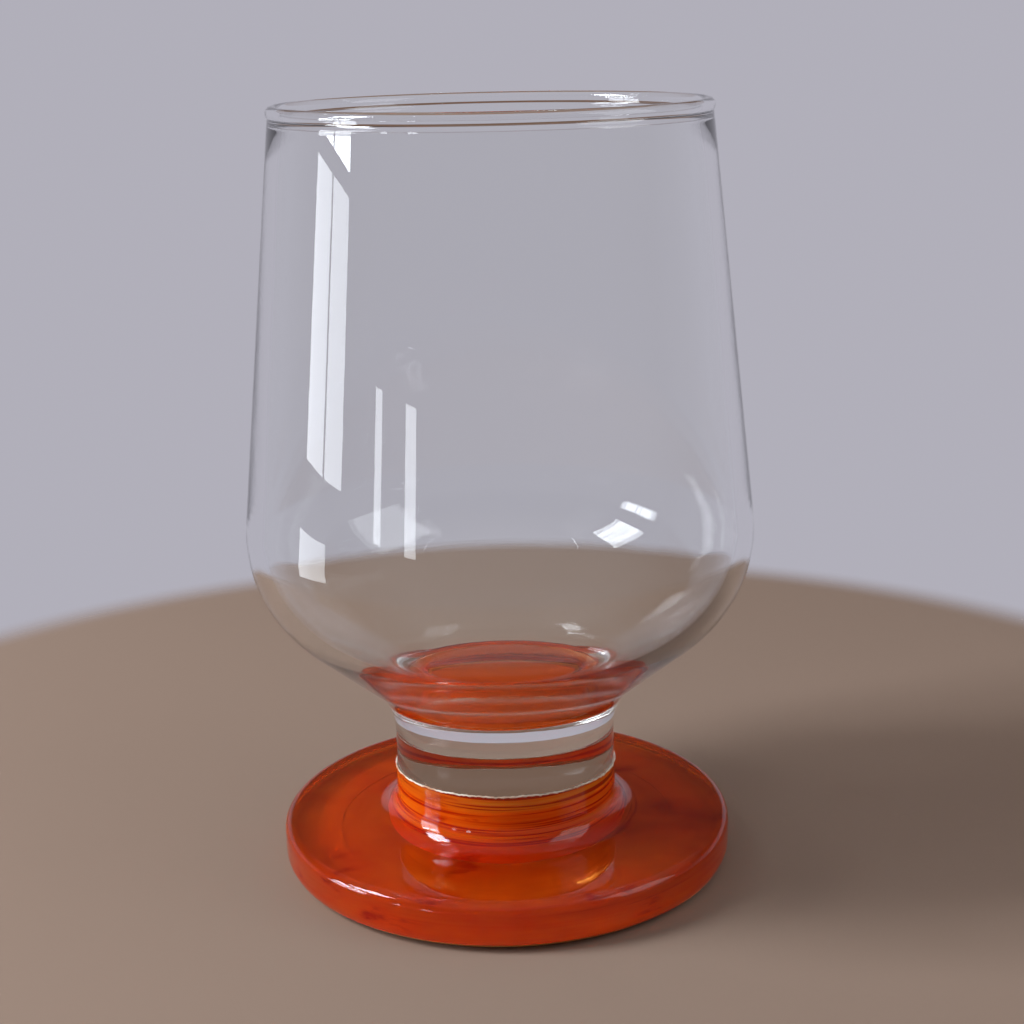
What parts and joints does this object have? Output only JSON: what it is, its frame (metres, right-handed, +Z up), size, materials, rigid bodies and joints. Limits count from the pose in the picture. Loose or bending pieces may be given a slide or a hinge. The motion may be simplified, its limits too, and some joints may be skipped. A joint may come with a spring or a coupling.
{
  "type": "water goblet",
  "caption": "Short-stemmed water goblet: clear tapering bowl with a beaded lip on a solid clear stem, fused to a thick hollow foot coated outside and underneath in translucent orange lacquer.",
  "frame": {"origin": "centre of the ring that the foot stands on, at table level", "axes": "+Z up along the goblet's axis, from the foot to the lip; X and Y are free, as the goblet is turned about Z"},
  "size_m": [0.079, 0.079, 0.12],
  "materials": {
    "clear_glass": "clear, fire-polished",
    "foot_glass": "clear, pressed",
    "orange_lacquer": "translucent gloss lacquer film"
  },
  "bodies": {
    "root": {"bowl": "clear_glass", "stem": "clear_glass", "foot": "foot_glass", "lacquer": "orange_lacquer", "under_lacquer": "orange_lacquer"}
  },
  "joints": []
}
